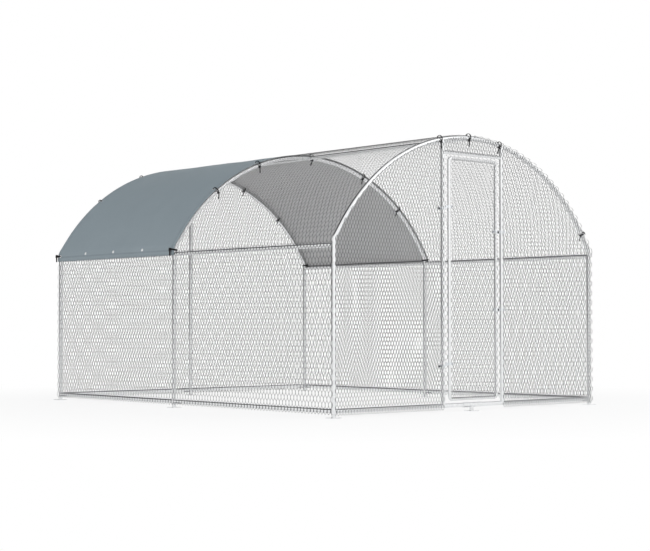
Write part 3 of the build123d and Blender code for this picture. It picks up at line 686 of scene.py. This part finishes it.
ray = shader_node(paper, "ShaderNodeLightPath").outputs
mirrored = combined(paper, ray["Is Glossy Ray"], ray["Is Transmission Ray"], "MAXIMUM")
seen = combined(paper, ray["Is Camera Ray"], mirrored, "MAXIMUM")
distance = shader_node(paper, "ShaderNodeVectorMath", operation="LENGTH")
link(place, distance.inputs[0])
away = spread(paper, distance.outputs["Value"], white_near, 1.0, fade_start, fade_end)
white = shader_node(paper, "ShaderNodeEmission")
white.inputs["Color"].default_value = (1, 1, 1, 1)
white.inputs["Strength"].default_value = 1.0
shade = shader_node(paper, "ShaderNodeMixShader")
link(combined(paper, seen, away, "MULTIPLY"), shade.inputs["Fac"])
link(surface.outputs["BSDF"], shade.inputs[1])
link(white.outputs["Emission"], shade.inputs[2])
link(shade.outputs["Shader"], paper.node_tree.nodes["Material Output"].inputs["Surface"])
floor_mesh.materials.append(paper)

# Studio light.
# Soft light from all round, and two large soft boxes in front. Five dark screens with soft rims
# stand round the run, out of sight: the tubes mirror them as the dark lines along their edges.
soft_colour = (0.97, 0.98, 1.0, 1.0)
soft_level = 1.3
screen_level = 0.02
screens = {                # each: its direction, and where its soft rim starts and ends, as cosines
    "high behind": ((0.0, 0.82, 0.57), 0.90, 0.94),
    "above on the right": ((0.52, 0.33, 0.79), 0.86, 0.93),
    "level on the left": ((-0.891, 0.454, 0.0), 0.955, 0.975),
    "low behind": ((0.0, 0.985, -0.174), 0.79, 0.86),
    "above on the left": ((-0.30, 0.30, 0.905), 0.87, 0.92),
}
sky = bpy.data.worlds.new("studio")
bpy.context.scene.world = sky
sky.use_nodes = True
link = sky.node_tree.links.new
direction = shader_node(sky, "ShaderNodeTexCoord").outputs["Generated"]


def light_past_screen(towards, rim, middle):
    """How much light is left by a dark round screen in one direction."""
    facing = shader_node(sky, "ShaderNodeVectorMath", operation="DOT_PRODUCT")
    facing.inputs[1].default_value = towards
    link(direction, facing.inputs[0])
    return spread(sky, facing.outputs["Value"], 1.0, screen_level, rim, middle, "SMOOTHSTEP")


light_left = 1.0
for screen in screens.values():
    light_left = combined(sky, light_left, light_past_screen(*screen), "MULTIPLY")
ray = shader_node(sky, "ShaderNodeLightPath").outputs
soft = sky.node_tree.nodes["Background"]
soft.inputs["Color"].default_value = soft_colour
link(combined(sky, light_left, soft_level, "MULTIPLY"), soft.inputs["Strength"])
plain = shader_node(sky, "ShaderNodeBackground")
plain.inputs["Color"].default_value = (1, 1, 1, 1)
link(combined(sky, light_left, ray["Is Camera Ray"], "MAXIMUM"), plain.inputs["Strength"])
mirrored = combined(sky, ray["Is Glossy Ray"], ray["Is Transmission Ray"], "MAXIMUM")
choose = shader_node(sky, "ShaderNodeMixShader")
link(combined(sky, ray["Is Camera Ray"], mirrored, "MAXIMUM"), choose.inputs["Fac"])
link(soft.outputs["Background"], choose.inputs[1])
link(plain.outputs["Background"], choose.inputs[2])
link(choose.outputs["Shader"], sky.node_tree.nodes["World Output"].inputs["Surface"])


def soft_box(name, place, aim, size, power):
    """A square lamp at a place, turned to a point."""
    lamp = bpy.data.lights.new(name, "AREA")
    lamp.shape = "SQUARE"
    lamp.size = size
    lamp.energy = power
    holder = bpy.data.objects.new(name, lamp)
    holder.location = place
    holder.rotation_euler = (Vector(aim) - Vector(place)).to_track_quat("-Z", "Y").to_euler()
    bpy.context.scene.collection.objects.link(holder)


soft_box("key", place=(4.5, -9.0, 5.0), aim=(0, 0, 1.0), size=4.0, power=65)
soft_box("fill", place=(-3.0, -10.0, 3.0), aim=(0, 0, 1.0), size=5.0, power=25)

# Camera.
# It stands to the front left of the run, not far above the ground, and looks very slightly upwards
# through a long lens.
camera_place = (-8.4416, -9.6109, 0.6368)
camera_tilt = 1.8494       # degrees up from level
camera_heading = -41.6043  # degrees round from straight ahead
camera_lens, sensor_width = 85.253, 36.0
camera_data = bpy.data.cameras.new("photo_camera")
camera_data.lens = camera_lens
camera_data.sensor_width = sensor_width
camera = bpy.data.objects.new("photo_camera", camera_data)
camera.location = camera_place
camera.rotation_euler = (radians(90 + camera_tilt), 0, radians(camera_heading))
bpy.context.scene.collection.objects.link(camera)
bpy.context.scene.camera = camera
bpy.context.scene.view_settings.view_transform = "Standard"
